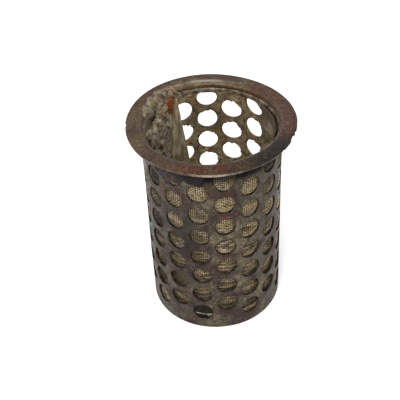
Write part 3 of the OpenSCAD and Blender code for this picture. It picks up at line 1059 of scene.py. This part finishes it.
def make_residue():
    """The film of dried residue that fills the cloth. Its outer side shows between the wires."""
    around = 4 * round(2 * math.pi * CLOTH_IN / FILM_CELL / 4)
    rise = np.linspace(CLOTH_FOOT, CLOTH_TOP, int((CLOTH_TOP - CLOTH_FOOT) / FILM_CELL) + 1)
    thick = layered((61, 2.4, 0.05), (62, 0.9, 0.04))
    for quarter, side in enumerate(QUARTERS):
        bearings = (np.arange(around // 4 + 1) + quarter * around // 4) * 360 / around
        bearing, z = grid(bearings, rise)
        depth = FILM_DEPTH - 0.08 * ease(30, 8, z) + thick(bearing, z)
        radius = CLOTH_MID + cloth_bulge(bearing, z) - stand_off(bearing, z) - depth
        points = on_wall(bearing, radius, z).reshape(-1, 3)
        middle_b, middle_z = bearings[:-1] + 180 / around, (rise[:-1] + rise[1:]) / 2
        keep = ~is_torn(*grid(middle_b, middle_z)).reshape(-1)
        rows = len(rise)
        corner = cell_corners(len(bearings), rows)[keep]
        quads = np.stack([corner, corner + rows, corner + rows + 1, corner + 1], -1)
        film = new_object("residue_film_" + side, points, quads, RESIDUE)
        film.data.materials.append(GRIME)
        solid = film.modifiers.new("film", "SOLIDIFY")
        solid.thickness = FILM_T * MM
        solid.offset = -1
        solid.material_offset = 1
        bake_modifiers(film)
        clean(film)
        dent_wall(film)
        film.data.shade_smooth()
        register(film, "wire_cloth", "mesh_liner")


def make_disc_cloth():
    """The disc of wire cloth on the bottom plate."""
    reach = DISC_R - 0.15
    middle = (DISC_FOOT + DISC_TOP) / 2
    count = int(2 * reach / WIRE_PITCH)
    offset = (np.arange(count) - (count - 1) / 2) * WIRE_PITCH
    wires = []
    for turn in (0, 1):
        for k, across in enumerate(offset):
            half = math.sqrt(max(reach ** 2 - across ** 2, 0))
            if half < WIRE_PITCH:
                continue
            steps = max(2, int(2 * half / WIRE_PITCH))
            along = np.linspace(-half, half, steps + 1)
            wave = (1 - 2 * turn) * WIRE_R * np.cos(math.pi * (along / WIRE_PITCH + k + (count - 1) / 2))
            line = np.stack([along, np.full_like(along, across), middle + wave], -1)
            line = line if turn == 0 else line[:, [1, 0, 2]]
            sides = np.array([[0, 1, 0], [1, 0, 0]][turn], float)
            up = np.array([0.0, 0.0, 1.0])
            wires.append(tubes(line[None], sides, up, WIRE_R))
    disc = new_object("wire_cloth_disc", *join(wires), WIRE)
    return register(disc, "wire_cloth", "bottom_mesh_disc")


# ---------------------------------------------------------------- the strap, the solder and the sealant

def border_quads(keep, cells, total):
    """Side faces along every edge where a kept cell meets a dropped one or the grid's border."""
    padded = np.pad(keep, 1)
    rows, cols = keep.shape
    sides = []
    for di, dj, first, second in ((-1, 0, (0, 0), (0, 1)), (0, 1, (0, 1), (1, 1)),
                                  (1, 0, (1, 1), (1, 0)), (0, -1, (1, 0), (0, 0))):
        i, j = np.nonzero(keep & ~padded[1 + di:1 + di + rows, 1 + dj:1 + dj + cols])
        a, b = cells[i + first[0], j + first[1]], cells[i + second[0], j + second[1]]
        sides.append(np.stack([a, a + total, b + total, b], -1))
    return np.concatenate(sides)


def relief(name, bearing, front, rear, material, keep=None):
    """A closed piece between two grids of (radius, z) over a grid of bearings, where keep says so.

    Its rear gets the residue's looks, because it shows only through the holes.
    """
    total = bearing.size
    cells = np.arange(total).reshape(bearing.shape)
    keep = np.ones(bearing.shape, bool) if keep is None else keep
    keep = keep[:-1, :-1] & keep[1:, :-1] & keep[:-1, 1:] & keep[1:, 1:]
    i, j = np.nonzero(keep)
    face = np.stack([cells[i, j], cells[i, j + 1], cells[i + 1, j + 1], cells[i + 1, j]], -1)
    quads = np.concatenate([face, face[:, ::-1] + total, border_quads(keep, cells, total)])
    points = np.concatenate([on_wall(bearing, *side).reshape(-1, 3) for side in (front, rear)])
    piece = new_object(name, points, quads, material)
    piece.data.materials.append(RESIDUE)
    is_rear = np.zeros(len(quads), np.int32)
    is_rear[len(face):2 * len(face)] = 1
    piece.data.polygons.foreach_set("material_index", is_rear)
    clean(piece, closed=True)
    dent_wall(piece)
    piece.data.shade_smooth()
    return piece


STRAP_LEFT = 220.5
STRAP_RIGHT = 209.9
STRAP_FOOT_RIGHT = 198.9
STRAP_KINK = 36.0
STRAP_IN = CLOTH_IN - 0.55
STRAP_FOOT, STRAP_TOP = node_span("mesh_seam_strap")[1:]
SEAL_TOP = RIM_TOP - 1.3
SEAL_LENGTH = 6.8
SEAL_BEARING = 218.0
SEAL_HALF = 3.8
SEAL_T = 0.75
SOLDER_SPAN = (206, 262)
SOLDER_FOOT = 24
BEAD_HALF = 0.75
RING_T = 0.6


def strap_right(z):
    """Bearing of the strap's right edge, which slants from its upper end down to a kink."""
    share = np.clip((z - STRAP_KINK) / (STRAP_TOP - STRAP_KINK), 0, 1)
    return STRAP_FOOT_RIGHT + (STRAP_RIGHT - STRAP_FOOT_RIGHT) * share


def make_strap():
    """The thin strap over the cloth's seam, rippled and with soft sides."""
    across, z = grid(np.linspace(0, 1, 41), np.linspace(STRAP_FOOT, STRAP_TOP, 240))
    wander = layered((71, 6, 0.5), (72, 1.5, 0.2))
    right = strap_right(z) + wander(210, z) * 0.4
    bearing = STRAP_LEFT + (right - STRAP_LEFT) * across
    ripple = layered((73, 5, 0.10), (74, 1.8, 0.07), (75, 0.8, 0.03))
    thickness = CLOTH_IN - STRAP_IN
    from_side = np.minimum(across, 1 - across) * (STRAP_LEFT - STRAP_RIGHT)
    height = thickness * (0.75 + 0.25 * ease(0, 1.2, from_side)) + ripple(bearing, z) - 0.1
    strap = relief("mesh_seam_strap_sheet", bearing, (CLOTH_IN - height, z), (CLOTH_IN + 0.1, z), STRAP)
    return register(strap, "strap_sheet", "mesh_seam_strap")


def inner_surface(along, height):
    """(radius, z) at a height above the inside, along a path up the wall, over the lip and outwards."""
    lip_start = RIM_TOP - LIP_R
    turn = np.clip((along - lip_start) / LIP_R, 0, math.pi / 2)
    past = np.maximum(along - lip_start - LIP_R * math.pi / 2, 0)
    wall = CLOTH_IN + (THROAT_R - CLOTH_IN) * ease(CLOTH_TOP - 0.4, CLOTH_TOP + 0.8, along)
    radius = wall + LIP_R - (LIP_R + height) * np.cos(turn) + past
    z = np.minimum(along, lip_start) + (LIP_R + height) * np.sin(turn)
    return radius, z


def make_strap_solder():
    """Lumps of solder and dirt along the strap's left edge, and over the strap's upper end and the lip."""
    reach = RIM_TOP - LIP_R + LIP_R * math.pi / 2 + 0.9
    bearing, along = grid(np.linspace(*SOLDER_SPAN, 200), np.linspace(SOLDER_FOOT, reach, 280))
    ragged = layered((81, 7, 3.0), (82, 2, 1.6), (86, 0.9, 0.8))
    edge = ragged(bearing, along)
    beside = ease(218.5, 223.5, bearing + edge * 0.4) * ease(260, 250, bearing + edge)
    beside *= ease(26, 36, along + 2 * edge)
    above = ease(66.0, 67.4, along + 0.3 * edge) * window(bearing + edge, 209, 216, 233, 244)
    recess = window(along, 61.5, 63, 66, 67) * ease(230, 236, bearing + edge)
    thin = 0.05 + 0.95 * ease(reach + 0.1, reach - 2.2, along + 0.6 * edge)
    lumps = layered((83, 5.2, 0.9), (84, 2.6, 0.38), (85, 1.0, 0.13))
    amount = np.maximum(beside * (1 - recess), 0.8 * above) * thin
    height = amount * np.clip(0.9 + lumps(bearing, along), 0.15, 2.4)
    solder = relief("strap_solder_lumps", bearing, inner_surface(along, height), inner_surface(along, -0.2),
                    INNER_SOLDER, height > 0.06)
    return register(solder, "soft_solder", "strap_solder")


def make_sealant():
    """A drip of sealing compound over the strap's upper end, narrow at both ends."""
    across, down = grid(np.linspace(-1, 1, 30), np.linspace(0, 1, 60))
    ragged = layered((91, 1.2, 0.5))
    z = SEAL_TOP - SEAL_LENGTH * down
    half = SEAL_HALF * np.sin(math.pi * (0.12 + 0.8 * down)) ** 0.7
    bearing = SEAL_BEARING + 0.9 * down + across * half * (1 + 0.25 * ragged(across * 9, z))
    wall = STRAP_IN + 0.4 * ease(STRAP_TOP, STRAP_TOP + 1, z)
    lump = layered((92, 1.6, 0.2), (93, 0.7, 0.1))
    height = SEAL_T * (1 - across ** 4) + lump(bearing, z) * (1 - across ** 2)
    drip = relief("sealant_drip", bearing, (wall - height, z), (wall + 0.3, z), SEALANT)
    return register(drip, "sealant", "sealant_trace")


def make_top_solder():
    """The uneven run of solder and dirt along the cloth's upper edge."""
    uneven = layered((101, 5, 0.5), (102, 1.6, 0.45))
    wall = THROAT_R + 0.1
    foot, top = CLOTH_TOP - 0.8, COLLAR_FOOT + 0.6
    profile = [(wall, top), (THROAT_R - 0.08, top - 0.1), (THROAT_R - 0.2, COLLAR_FOOT)]
    profile += [(CLOTH_IN - 0.15, CLOTH_TOP - 0.1), (CLOTH_IN - 0.12, foot + 0.3), (CLOTH_IN + 0.05, foot)]
    profile += [(wall, foot)]

    def swell(bearing, radius, z):
        free = ease(wall, CLOTH_IN, radius) * (1 - 0.9 * on_right(bearing))
        sag = 0.3 * free * uneven(bearing + 90, z)
        return radius - free * (0.05 + 0.2 * uneven(bearing, z)), z + bend(bearing) + sag

    run = lathe("cloth_top_solder_run", profile, CLOTH_SOLDER, FINE_TURN, swell)
    return register(run, "soft_solder", "mesh_top_solder")


def make_seam_bead():
    """Solder in the shell's slit, standing a little proud outside with soft, wandering edges."""
    across, z = grid(np.linspace(-1, 1, 17), np.linspace(0, FILLET_FOOT, 200))
    wander = layered((111, 5, 0.3), (112, 1.6, 0.16))
    half = BEAD_HALF + wander(SEAM_BEARING, z)
    bearing = SEAM_BEARING + np.degrees((across * half + 0.5 * wander(40, z)) / SHELL_R)
    lump = layered((113, 2.5, 0.10), (114, 0.9, 0.06))
    proud = (1 - across ** 2) * (0.16 + lump(bearing, z)) - 0.02
    bead = relief("shell_seam_bead", bearing, (SHELL_R + proud, z), (SHELL_R - SHEET_T, z), SOLDER)
    return register(bead, "soft_solder", "shell_seam_solder")


def make_bottom_fillet():
    """The solder under the bottom plate's edge."""
    low, high = node_span("bottom_solder_fillet")[1:]
    reach = high - low
    uneven = layered((121, 6, 0.25), (122, 2, 0.15))
    wall = CLOTH_OUT + 0.1
    profile = [(wall, low + 0.02)]
    for t in np.linspace(0.05, 1, 8):
        profile.append((CLOTH_OUT - reach * t ** 1.5, low + reach * (1 - (1 - t) ** 1.5)))
    profile.append((wall, high))

    def swell(bearing, radius, z):
        free = ease(wall, CLOTH_OUT - 0.4, radius)
        return radius - free * 0.5 * uneven(bearing, z), z

    run = lathe("bottom_solder_run", profile, SOLDER, COARSE_TURN, swell)
    return register(run, "soft_solder", "bottom_solder_fillet")


def make_bottom_ring():
    """The thin ring that presses the cloth's lower edge to the wall, a little buckled."""
    inner = RING_R - RING_T
    uneven = layered((131, 9, 0.08), (132, 3, 0.05))
    soft = 0.15
    profile = arc((inner + soft, RING_TOP - soft), soft, 180, 90, 3)
    profile += arc((RING_R - soft, RING_TOP - soft), soft, 90, 0, 3)
    profile += arc((RING_R - soft, RING_FOOT + soft), soft, 0, -90, 3)
    profile += arc((inner + soft, RING_FOOT + soft), soft, -90, -180, 3)

    def buckle(bearing, radius, z):
        lifted = z + uneven(bearing, 40) * ease(RING_FOOT, RING_TOP, z)
        return radius - 0.4 * np.abs(uneven(bearing, 10)), lifted

    ring = lathe("cloth_foot_ring", profile, STRAP, COARSE_TURN, buckle)
    return register(ring, "strap_sheet", "mesh_bottom_ring")


make_camera()
make_studio()
make_shell()
make_rim()
make_rim_solder()
make_crust()
make_cloth()
make_residue()
make_disc_cloth()
make_strap()
make_strap_solder()
make_sealant()
make_top_solder()
make_seam_bead()
make_bottom_fillet()
make_bottom_ring()
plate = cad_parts["bottom_plate"]
plate.data.materials.clear()
plate.data.materials.append(SHELL)
